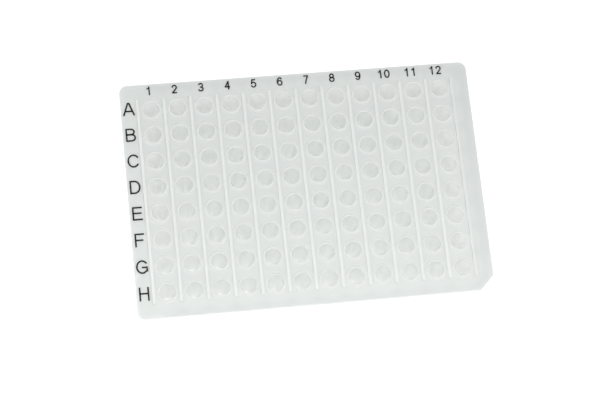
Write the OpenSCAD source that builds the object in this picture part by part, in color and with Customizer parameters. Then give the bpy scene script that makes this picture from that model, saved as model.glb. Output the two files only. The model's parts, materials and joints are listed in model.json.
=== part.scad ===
// Low-profile well plate without a skirt, moulded in one piece.
// A thin flat deck carries a grid of conical wells that hang below it.
// Each well ends in a raised rim, and low ribs divide the columns.
// The plate stands on its well tips, with Z = 0 at the tips, X along a row and +Y towards the first row.

/* [Deck] */
// Number of wells in a row, along X
columns = 12; // [2:1:12]
// Number of wells in a column, along Y
rows = 8; // [2:1:8]
// Distance between the centres of neighbouring wells
pitch = 9; // [8.6:0.1:12]
// From the centre of an outer column to the side edge
side_margin = 10.3; // [8:0.1:14]
// From the centre of the first row to the back edge
back_margin = 9; // [7:0.1:14]
// From the centre of the last row to the front edge
front_margin = 8.4; // [7:0.1:14]
// Thickness of the deck
deck_t = 1.2; // [0.8:0.1:2]
// Radius of the three round corners
corner_r = 2.7; // [1:0.1:5]
// Leg of the corner that is cut off, at the front right
corner_cut = 4.8; // [2:0.1:6]

/* [Wells] */
// Height from the tips to the tops of the rims
height = 15.5; // [14:0.1:21]
// Diameter of the mouth, where a cap seats
mouth_d = 5.44; // [5:0.02:5.8]
// How far down the mouth is straight
seat_depth = 2; // [2:0.1:2.8]
// Draft of the mouth's wall below that, in degrees
mouth_draft = 1; // [0.5:0.5:2]
// Depth at which the mouth ends and the cone starts
cone_depth = 4.4; // [3:0.1:6]
// Full angle of the cone
cone_angle = 17.5; // [10:0.5:18]
// Thickness of the wall along the cone
cone_wall = 0.35; // [0.35:0.05:0.5]
// Thickness of the wall round the mouth
mouth_wall = 0.48; // [0.4:0.01:0.6]
// Thickness of the floor in the tip
tip_floor = 0.3; // [0.2:0.05:0.3]
// Height of the rim above the deck
rim_h = 0.5; // [0.4:0.1:1]
// How much further out the rim reaches at its foot than at its crest
rim_flare = 0.3; // [0.1:0.05:0.5]
// Bevel along the inner edge of the rim
rim_bevel = 0.15; // [0.05:0.05:0.2]

/* [Ribs] */
// Width of a rib where it meets the deck
rib_w = 1.1; // [0.8:0.1:1.4]
// Height of a rib above the deck
rib_h = 0.4; // [0.2:0.1:0.6]
// Draft of the ribs' sides and ends, in degrees
rib_draft = 10; // [0:1:15]
// How far the ribs run past the centres of the first row, at the back
rib_back = 3.8; // [2:0.1:5]
// How far the ribs run past the centres of the last row, at the front
rib_front = 3.5; // [2:0.1:5]

/* [Hidden] */
$fn = 48;

// The plate's outline, with the origin midway between its edges
grid_w = (columns - 1) * pitch;
grid_d = (rows - 1) * pitch;
plate_w = grid_w + 2 * side_margin;
plate_d = grid_d + back_margin + front_margin;
first_x = -grid_w / 2;
first_y = plate_d / 2 - back_margin;
last_y = first_y - grid_d;
deck_top = height - rim_h;
deck_bottom = deck_top - deck_t;

// The feet of the rims and ribs sink this far into the deck
foot = deck_t / 4;

// The inside of a well: a mouth, a cone that starts at its throat, and a round tip tangent to the cone
half_angle = cone_angle / 2;
mouth_r = mouth_d / 2;
seat_end = height - seat_depth;
cone_top = height - cone_depth;
throat_r = mouth_r - (seat_end - cone_top) * tan(mouth_draft);
tip_r = (throat_r * cos(half_angle) - (cone_top - tip_floor) * sin(half_angle)) / (1 - sin(half_angle));
tip_z = tip_floor + tip_r;

// The outside of a well: parallel to the cone up to the thicker wall of the mouth, and flat under the tip
outer_tip_r = tip_r + cone_wall;
outer_r = mouth_r + mouth_wall;
rim_foot_r = outer_r + rim_flare;
outer_cone_top = cone_top + (outer_r - throat_r - cone_wall / cos(half_angle)) / tan(half_angle);
flat_angle = asin(tip_z / outer_tip_r);

// Straight steps in each kind of arc
corner_steps = 8;
tip_steps = 2;

// The hole in the deck ends inside the wall of the mouth
hole_r = mouth_r + mouth_wall / 2;

// Points along an arc round [x, z], from angle a to angle b
function arc(x, z, r, a, b, steps) =
    [for (i = [0:steps]) let (t = a + (b - a) * i / steps) [x + r * cos(t), z + r * sin(t)]];

module at_wells() {
    for (i = [0:columns - 1], j = [0:rows - 1])
        translate([first_x + i * pitch, first_y - j * pitch]) children();
}

// Three round corners, and the front right one cut off
module outline() {
    x = plate_w / 2;
    y = plate_d / 2;
    r = corner_r;
    polygon(concat(
        arc(x - r, y - r, r, 0, 90, corner_steps),
        arc(r - x, y - r, r, 90, 180, corner_steps),
        arc(r - x, r - y, r, 180, 270, corner_steps),
        [[x - corner_cut, -y], [x, corner_cut - y]]
    ));
}

module deck() {
    translate([0, 0, deck_bottom])
        linear_extrude(deck_t)
            difference() {
                outline();
                at_wells() circle(hole_r);
            }
}

// Half section of a well's wall, up the outside, over the rim and down the inside
module well_wall() {
    rotate_extrude()
        polygon(concat(
            [[0, 0]],
            arc(0, tip_z, outer_tip_r, -flat_angle, -half_angle, tip_steps),
            [
                [outer_r, outer_cone_top], [outer_r, deck_top - foot], [rim_foot_r, deck_top - foot],
                [rim_foot_r, deck_top], [outer_r, height], [mouth_r + rim_bevel, height],
                [mouth_r, height - rim_bevel], [mouth_r, seat_end], [throat_r, cone_top]
            ],
            arc(0, tip_z, tip_r, -half_angle, -90, tip_steps)
        ));
}

// Every rib at once: their sections drawn out along Y, and cut to length with drafted ends
module ribs() {
    lean = rib_h * tan(rib_draft);
    crest = rib_w / 2 - lean;
    back_end = first_y + rib_back;
    front_end = last_y - rib_front;
    translate([0, 0, deck_top])
        intersection() {
            rotate([90, 0, 0])
                linear_extrude(plate_d, center = true)
                    for (i = [0:columns])
                        translate([first_x + (i - 0.5) * pitch, 0])
                            polygon([
                                [-rib_w / 2, -foot], [rib_w / 2, -foot], [rib_w / 2, 0],
                                [crest, rib_h], [-crest, rib_h], [-rib_w / 2, 0]
                            ]);
            rotate([90, 0, 90])
                linear_extrude(plate_w, center = true)
                    polygon([
                        [front_end, -foot], [back_end, -foot], [back_end, 0],
                        [back_end - lean, rib_h], [front_end + lean, rib_h], [front_end, 0]
                    ]);
        }
}

module plate() {
    color("#e4e9e6") {
        deck();
        at_wells() well_wall();
        ribs();
    }
}

plate();
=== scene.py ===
"""Looks for the well plate: its plastic, its row letters and column numbers, floor, light and camera."""

import json
import math

import bmesh
import bpy
from mathutils import Matrix, Vector


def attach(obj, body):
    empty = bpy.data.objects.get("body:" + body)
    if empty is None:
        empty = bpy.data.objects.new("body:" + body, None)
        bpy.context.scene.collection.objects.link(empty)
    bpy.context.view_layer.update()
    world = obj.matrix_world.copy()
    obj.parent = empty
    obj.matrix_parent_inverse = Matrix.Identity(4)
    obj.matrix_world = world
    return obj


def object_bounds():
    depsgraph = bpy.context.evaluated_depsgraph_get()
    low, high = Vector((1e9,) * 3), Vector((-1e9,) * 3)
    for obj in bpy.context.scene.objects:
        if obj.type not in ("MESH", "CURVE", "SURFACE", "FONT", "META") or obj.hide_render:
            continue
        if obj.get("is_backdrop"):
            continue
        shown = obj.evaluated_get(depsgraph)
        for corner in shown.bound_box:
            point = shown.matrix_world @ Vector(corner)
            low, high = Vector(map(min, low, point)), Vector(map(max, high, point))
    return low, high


MM = 0.001
PITCH = 9 * MM
ROWS = "ABCDEFGH"
COLUMNS = 12

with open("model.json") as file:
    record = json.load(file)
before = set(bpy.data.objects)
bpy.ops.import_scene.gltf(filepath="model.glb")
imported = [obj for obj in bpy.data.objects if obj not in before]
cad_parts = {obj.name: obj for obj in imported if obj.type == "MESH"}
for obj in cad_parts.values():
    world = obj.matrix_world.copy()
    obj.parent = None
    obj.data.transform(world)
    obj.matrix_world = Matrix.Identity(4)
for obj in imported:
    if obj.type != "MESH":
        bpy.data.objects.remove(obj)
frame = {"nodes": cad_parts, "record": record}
cad_low, cad_high = (Vector(corner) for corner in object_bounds())
mount = {m["name"]: m for m in frame["record"]["mounts"]}
first_well = Vector(mount["well_a1"]["pos_m"])
mouth_r = mount["well_a1"]["dims"]["r_mm"] * MM
# The rim's wall at its foot, and its height above the deck
rim_wall = 0.78 * MM
rim_h = 0.5 * MM
rim_foot_r = mouth_r + rim_wall
deck_top = cad_high.z - rim_h


# ---------------------------------------------------------------- materials

def linear(hex_colour):
    """An sRGB hex colour as linear RGBA."""
    parts = [int(hex_colour[i:i + 2], 16) / 255 for i in (1, 3, 5)]
    return [c / 12.92 if c <= 0.04045 else ((c + 0.055) / 1.055) ** 2.4 for c in parts] + [1.0]


def add(tree, kind, inputs=None, **settings):
    """Add a node, set its attributes, and fill its inputs with values or with other nodes' sockets."""
    node = tree.nodes.new(kind)
    for name, value in settings.items():
        setattr(node, name, value)
    for name, value in (inputs or {}).items():
        if isinstance(value, bpy.types.NodeSocket):
            tree.links.new(value, node.inputs[name])
        else:
            node.inputs[name].default_value = value
    return node


def new_material(name):
    """A material with an empty node tree and its output node."""
    material = bpy.data.materials.new(name)
    material.use_nodes = True
    material.node_tree.nodes.clear()
    return material, material.node_tree, material.node_tree.nodes.new("ShaderNodeOutputMaterial")


def from_well_axis(tree, place):
    """How far each point is, seen from above, from the axis of the nearest well."""
    half_cell = Vector((PITCH / 2, PITCH / 2, 0))
    corner = Vector((first_well.x, first_well.y, 0)) - half_cell
    last_row = (0, -(len(ROWS) - 1) * PITCH, 0)
    last_column = ((COLUMNS - 1) * PITCH, 0, 0)
    point = add(tree, "ShaderNodeVectorMath", {0: place, 1: (1, 1, 0)}, operation="MULTIPLY").outputs[0]
    point = add(tree, "ShaderNodeVectorMath", {0: point, 1: corner}, operation="SUBTRACT").outputs[0]
    cell = add(tree, "ShaderNodeVectorMath", {0: point, 1: (PITCH, PITCH, 0)}, operation="SNAP").outputs[0]
    cell = add(tree, "ShaderNodeVectorMath", {0: cell, 1: last_row}, operation="MAXIMUM").outputs[0]
    cell = add(tree, "ShaderNodeVectorMath", {0: cell, 1: last_column}, operation="MINIMUM").outputs[0]
    axis = add(tree, "ShaderNodeVectorMath", {0: cell, 1: half_cell}, operation="ADD").outputs[0]
    return add(tree, "ShaderNodeVectorMath", {0: point, 1: axis}, operation="DISTANCE").outputs["Value"]


def moulded_polypropylene():
    """Natural polypropylene, injection moulded: milky and translucent, with a satin skin.

    It is a pale grey in the deck, where it is thin. Painted shade makes the flanges and the faces round the
    deck's edge greyer. Painted light makes the ribs, the rims, the roots of the wells and the wells whiter,
    the wells most of all towards their tips. In the closed wells the light wanders furthest.
    """
    material, tree, out = new_material("moulded_polypropylene")
    spot = add(tree, "ShaderNodeTexCoord").outputs
    across, _, height = add(tree, "ShaderNodeSeparateXYZ", {"Vector": spot["Object"]}).outputs
    upward = add(tree, "ShaderNodeSeparateXYZ", {"Vector": spot["Normal"]}).outputs["Z"]
    flatness = add(tree, "ShaderNodeMath", {0: upward}, operation="ABSOLUTE").outputs[0]
    radius = from_well_axis(tree, spot["Object"])

    # How far light wanders in the thin and in the closed parts
    near = 1.5 * MM
    far = 2.8 * MM
    rim = rim_foot_r + 0.1 * MM
    last_rib = first_well.x + (COLUMNS - 0.5) * PITCH
    # Each layer of painted light or shade: its colour, its scatter, its strength, and the values at which it
    # sets in and is full
    painted_light_layers = (
        # Painted shade: the flanges past the outer wells greyer, apart from the one with the letters
        ("#dde0df", near, 1, ((radius, 6 * MM, 8 * MM), (across, cad_low.x + 8 * MM, cad_low.x + 12 * MM))),
        # Painted shade: the faces all round the deck's edge greyer
        ("#c4c7c6", near, 1, ((radius, 4 * MM, 5 * MM), (flatness, 0.7, 0.3))),
        # Painted light: the rims and the roots of the wells whiter
        ("#eef1ef", near, 0.45, ((radius, rim_foot_r + 0.8 * MM, rim_foot_r),)),
        # Painted highlight: the ribs whiter, the last one half as white as the others
        ("#eef1ef", near, 1, (
            (radius, rim_foot_r, rim), (height, deck_top + 0.02 * MM, deck_top + 0.2 * MM),
            (across, last_rib + PITCH / 2, last_rib - PITCH / 2))),
        # Painted light: the insides of the wells whiter
        ("#f4f6f4", far, 0.7, ((radius, mouth_r + 0.3 * MM, mouth_r + 0.03 * MM),)),
        # Painted light: the wells below the deck, whiter towards their tips
        ("#fefffe", far, 1, ((radius, rim, rim_foot_r), (height, deck_top - 0.1 * MM, cad_low.z + 3 * MM))),
    )
    # Faint clouds about 17 mm across, from the way the melt filled the mould
    cloud = add(tree, "ShaderNodeTexNoise", {
        "Vector": spot["Object"], "Scale": 1 / (17 * MM), "Detail": 2}).outputs["Fac"]
    tint = add(tree, "ShaderNodeMix", {
        "Factor": cloud, "A": linear("#e1e4e3"), "B": linear("#e3e6e4")}, data_type="RGBA").outputs["Result"]
    scatter = near
    for colour, depth, strength, ramps in painted_light_layers:
        painted_light_mask = strength
        for value, start, full in ramps:
            painted_light_mask = add(tree, "ShaderNodeMapRange", {
                "Value": value, "From Min": start, "From Max": full, "To Max": painted_light_mask}).outputs["Result"]
        tint = add(tree, "ShaderNodeMix", {
            "Factor": painted_light_mask, "A": tint, "B": linear(colour)}, data_type="RGBA").outputs["Result"]
        scatter = add(tree, "ShaderNodeMix", {"Factor": painted_light_mask, "A": scatter, "B": depth}).outputs["Result"]

    # The satin grain of the mould is about 0.03 mm, too fine to show, so it is drawn at 0.25 mm
    grain = add(tree, "ShaderNodeTexNoise", {
        "Vector": spot["Object"], "Scale": 1 / (0.25 * MM), "Detail": 3}).outputs["Fac"]
    bump = add(tree, "ShaderNodeBump", {
        "Height": grain, "Strength": 0.1, "Distance": 0.02 * MM}).outputs["Normal"]
    skin = add(tree, "ShaderNodeBsdfPrincipled", {
        "Base Color": tint, "Roughness": 0.35, "IOR": 1.49, "Normal": bump,
        "Subsurface Weight": 1, "Subsurface Radius": (1, 1, 1), "Subsurface Scale": scatter,
    }).outputs["BSDF"]
    tree.links.new(skin, out.inputs["Surface"])
    return material


def printed_ink():
    """Black pad-printing ink: a thin matt film, a little greyer where the pad laid less of it."""
    material, tree, out = new_material("printed_ink")
    place = add(tree, "ShaderNodeTexCoord").outputs["Object"]
    # The film's patches are about 0.4 mm across
    cover = add(tree, "ShaderNodeTexNoise", {
        "Vector": place, "Scale": 1 / (0.4 * MM), "Detail": 3}).outputs["Fac"]
    tone = add(tree, "ShaderNodeMix", {
        "Factor": cover, "A": linear("#101111"), "B": linear("#1c1d1d")}, data_type="RGBA").outputs["Result"]
    film = add(tree, "ShaderNodeBsdfPrincipled", {"Base Color": tone, "Roughness": 0.55}).outputs["BSDF"]
    tree.links.new(film, out.inputs["Surface"])
    return material


def light_table():
    """The floor: opal acrylic over a lamp, pale and all but white, a little brighter towards the front."""
    material, tree, out = new_material("light_table")
    place = add(tree, "ShaderNodeTexCoord").outputs["Object"]
    depth = add(tree, "ShaderNodeSeparateXYZ", {"Vector": place}).outputs["Y"]
    glow = add(tree, "ShaderNodeMapRange", {
        "Value": depth, "From Min": cad_high.y, "From Max": cad_low.y, "To Min": 0.82, "To Max": 0.98,
    }).outputs["Result"]
    opal = add(tree, "ShaderNodeBsdfPrincipled", {
        "Base Color": linear("#a0a0a0"), "Roughness": 0.9,
        "Emission Color": (1, 1, 1, 1), "Emission Strength": glow,
    }).outputs["BSDF"]
    tree.links.new(opal, out.inputs["Surface"])
    return material


# ---------------------------------------------------------------- print

def bow(x, y, rx, ry, start, end):
    """Points along part of an ellipse round (x, y), from one angle to another in degrees."""
    steps = max(3, round(abs(end - start) / 15))
    angles = [math.radians(start + (end - start) * i / steps) for i in range(steps + 1)]
    return [(x + rx * math.cos(a), y + ry * math.sin(a)) for a in angles]


# The middle lines of each character's strokes, in a box of height 1.
# A stroke that ends where it starts is closed.
BIG_ROUND = (0.43, 0.5, 0.43, 0.5)
STROKES = {
    "A": [[(0, 0), (0.37, 1), (0.47, 1), (0.84, 0)], [(0.13, 0.31), (0.71, 0.31)]],
    "B": [[(0, 0.53), (0, 1)] + bow(0.37, 0.765, 0.27, 0.235, 90, -90) + [(0, 0.53)],
          [(0, 0), (0, 0.53)] + bow(0.40, 0.265, 0.30, 0.265, 90, -90) + [(0, 0)]],
    "C": [bow(*BIG_ROUND, 38, 322)],
    "D": [[(0, 0), (0, 1)] + bow(0.32, 0.5, 0.43, 0.5, 90, -90) + [(0, 0)]],
    "E": [[(0.68, 1), (0, 1), (0, 0), (0.70, 0)], [(0, 0.53), (0.63, 0.53)]],
    "F": [[(0.65, 1), (0, 1), (0, 0)], [(0, 0.5), (0.56, 0.5)]],
    "G": [bow(*BIG_ROUND, 40, 318) + [(0.82, 0.16), (0.82, 0.46), (0.46, 0.46)]],
    "H": [[(0, 0), (0, 1)], [(0.68, 0), (0.68, 1)], [(0, 0.53), (0.68, 0.53)]],
    "0": [bow(0.29, 0.5, 0.29, 0.5, 0, 360)],
    "1": [[(0.36, 0), (0.36, 1)], [(0.33, 0.91), (0.25, 0.84), (0.14, 0.79)]],
    "2": [bow(0.29, 0.72, 0.27, 0.28, 165, -30) + [(0.06, 0.03)], [(0.06, 0), (0.51, 0)]],
    "3": [bow(0.28, 0.755, 0.25, 0.245, 150, -90), bow(0.28, 0.255, 0.29, 0.255, 90, -150)],
    "4": [[(0.43, 0), (0.43, 1)], [(0.40, 0.97), (0.04, 0.34)], [(0.03, 0.28), (0.55, 0.28)]],
    "5": [[(0.46, 1), (0.12, 1), (0.05, 0.49)], bow(0.27, 0.32, 0.30, 0.32, 140, -150)],
    "6": [bow(0.29, 0.31, 0.28, 0.31, 0, 360), [(0.01, 0.31)] + bow(0.31, 0.5, 0.31, 0.5, 180, 48)],
    "7": [[(0.06, 1), (0.50, 1)], [(0.50, 0.90), (0.32, 0.55), (0.19, 0)]],
    "8": [bow(0.28, 0.755, 0.24, 0.245, 0, 360), bow(0.28, 0.255, 0.29, 0.255, 0, 360)],
    "9": [bow(0.29, 0.69, 0.28, 0.31, 0, 360), [(0.57, 0.69)] + bow(0.27, 0.5, 0.31, 0.5, 0, -132)],
}


def poly_spline(curve, points, reach=0.0):
    """Add a straight-sided spline. It is closed if it ends at its start, else longer by reach each way."""
    corners = [Vector(point) for point in points]
    closed = (corners[0] - corners[-1]).length < 1e-9
    if closed:
        corners.pop()
    else:
        corners[0] += (corners[0] - corners[1]).normalized() * reach
        corners[-1] += (corners[-1] - corners[-2]).normalized() * reach
    spline = curve.splines.new("POLY")
    spline.points.add(len(corners) - 1)
    for point, corner in zip(spline.points, corners):
        point.co = (*corner, 0, 1)
    spline.use_cyclic_u = closed


def print_text(name, marks, height, stroke, film, material):
    """One mesh of flat characters: marks are (text, x, y) of each text's centre on the deck."""
    nib = bpy.data.curves.new("nib", "CURVE")
    w, h = stroke / 2, film / 2
    poly_spline(nib, [(-w, -h), (-w, h), (w, h), (w, -h), (-w, -h)])
    nib_object = bpy.data.objects.new("nib", nib)
    curve = bpy.data.curves.new(name, "CURVE")
    curve.dimensions = "2D"
    curve.fill_mode = "BOTH"
    curve.bevel_mode = "OBJECT"
    curve.bevel_object = nib_object
    curve.use_fill_caps = True
    tall = height - stroke
    # From one character of a text to the next
    advance = 0.77 * height
    for text, x, y in marks:
        widths = [max(px for s in STROKES[c] for px, _ in s) for c in text]
        starts = [i * advance for i in range(len(text))]
        left = x - (starts[-1] + widths[-1] * tall) / 2
        for char, start in zip(text, starts):
            for path in STROKES[char]:
                points = [(left + start + px * tall, y - tall / 2 + py * tall) for px, py in path]
                poly_spline(curve, points, reach=w)
    drawing = bpy.data.objects.new(name + "_curve", curve)
    bpy.context.collection.objects.link(drawing)
    bpy.context.view_layer.update()
    mesh = bpy.data.meshes.new_from_object(drawing.evaluated_get(bpy.context.evaluated_depsgraph_get()))
    mesh.name = name
    mesh.transform(Matrix.Translation((0, 0, deck_top + film / 2)))
    mesh.materials.clear()
    mesh.materials.append(material)
    bpy.data.objects.remove(drawing)
    bpy.data.objects.remove(nib_object)
    piece = bpy.data.objects.new(name, mesh)
    bpy.context.collection.objects.link(piece)
    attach(piece, "root")
    return piece


ink = printed_ink()
ink_film = 0.02 * MM
letter_x = first_well.x - 7.55 * MM
letter_y = first_well.y + 0.7 * MM
letter_pitch = 9.09 * MM
number_x = first_well.x - 0.6 * MM
number_y = first_well.y + 6.67 * MM
row_marks = [(letter, letter_x, letter_y - i * letter_pitch) for i, letter in enumerate(ROWS)]
column_marks = [(str(i + 1), number_x + i * PITCH, number_y) for i in range(COLUMNS)]
print_text("row_letters", row_marks, height=4.6 * MM, stroke=0.53 * MM, film=ink_film, material=ink)
print_text("column_numbers", column_marks, height=3.05 * MM, stroke=0.45 * MM, film=ink_film, material=ink)


# ---------------------------------------------------------------- plate

plate = frame["nodes"]["plate"]
plate.data.materials.clear()
plate.data.materials.append(moulded_polypropylene())


# ---------------------------------------------------------------- studio

def floor():
    """The light table's flat top, which runs on past every view."""
    top = bmesh.new()
    bmesh.ops.create_grid(top, x_segments=1, y_segments=1, size=3.0)
    mesh = bpy.data.meshes.new("floor")
    top.to_mesh(mesh)
    top.free()
    mesh.materials.append(light_table())
    piece = bpy.data.objects.new("floor", mesh)
    bpy.context.collection.objects.link(piece)
    piece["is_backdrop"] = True


def soft_box(name, azimuth, elevation, distance, width, depth, watts):
    """A rectangular area light that faces the plate."""
    data = bpy.data.lights.new(name, "AREA")
    data.shape = "RECTANGLE"
    data.size = width
    data.size_y = depth
    data.energy = watts
    light = bpy.data.objects.new(name, data)
    bpy.context.collection.objects.link(light)
    a, e = math.radians(azimuth), math.radians(elevation)
    way = Vector((math.cos(e) * math.sin(a), -math.cos(e) * math.cos(a), math.sin(e)))
    light.location = way * distance
    light.rotation_euler = way.to_track_quat("Z", "Y").to_euler()


def camera(aim, azimuth, elevation, roll, distance, lens):
    """A camera that looks at aim; azimuth 0 is in front, and roll turns it about its line of sight."""
    data = bpy.data.cameras.new("camera")
    data.lens = lens
    data.sensor_width = 36
    data.clip_start = 0.01
    seat = bpy.data.objects.new("camera", data)
    bpy.context.collection.objects.link(seat)
    a, e = math.radians(azimuth), math.radians(elevation)
    way = Vector((math.cos(e) * math.sin(a), -math.cos(e) * math.cos(a), math.sin(e)))
    turn = way.to_track_quat("Z", "Y").to_matrix() @ Matrix.Rotation(math.radians(roll), 3, "Z")
    seat.matrix_world = Matrix.Translation(aim + way * distance) @ turn.to_4x4()
    bpy.context.scene.camera = seat


floor()
soft_box("key_light", azimuth=0, elevation=60, distance=0.18, width=0.35, depth=0.12, watts=0.145)
world = bpy.data.worlds.new("studio")
world.use_nodes = True
world.node_tree.nodes["Background"].inputs["Color"].default_value = (1, 1, 1, 1)
world.node_tree.nodes["Background"].inputs["Strength"].default_value = 0.67
bpy.context.scene.world = world
bpy.context.scene.view_settings.view_transform = "Standard"
# Light passes between many milky walls before it leaves the plate
bounces = 24
bpy.context.scene.cycles.max_bounces = bounces
bpy.context.scene.cycles.diffuse_bounces = bounces
bpy.context.scene.cycles.transmission_bounces = bounces
view_centre = Vector((-2.60, -4.38, 15.5)) * MM
camera(view_centre, azimuth=-25.6, elevation=74.73, roll=20.2, distance=562.3 * MM, lens=100.62)
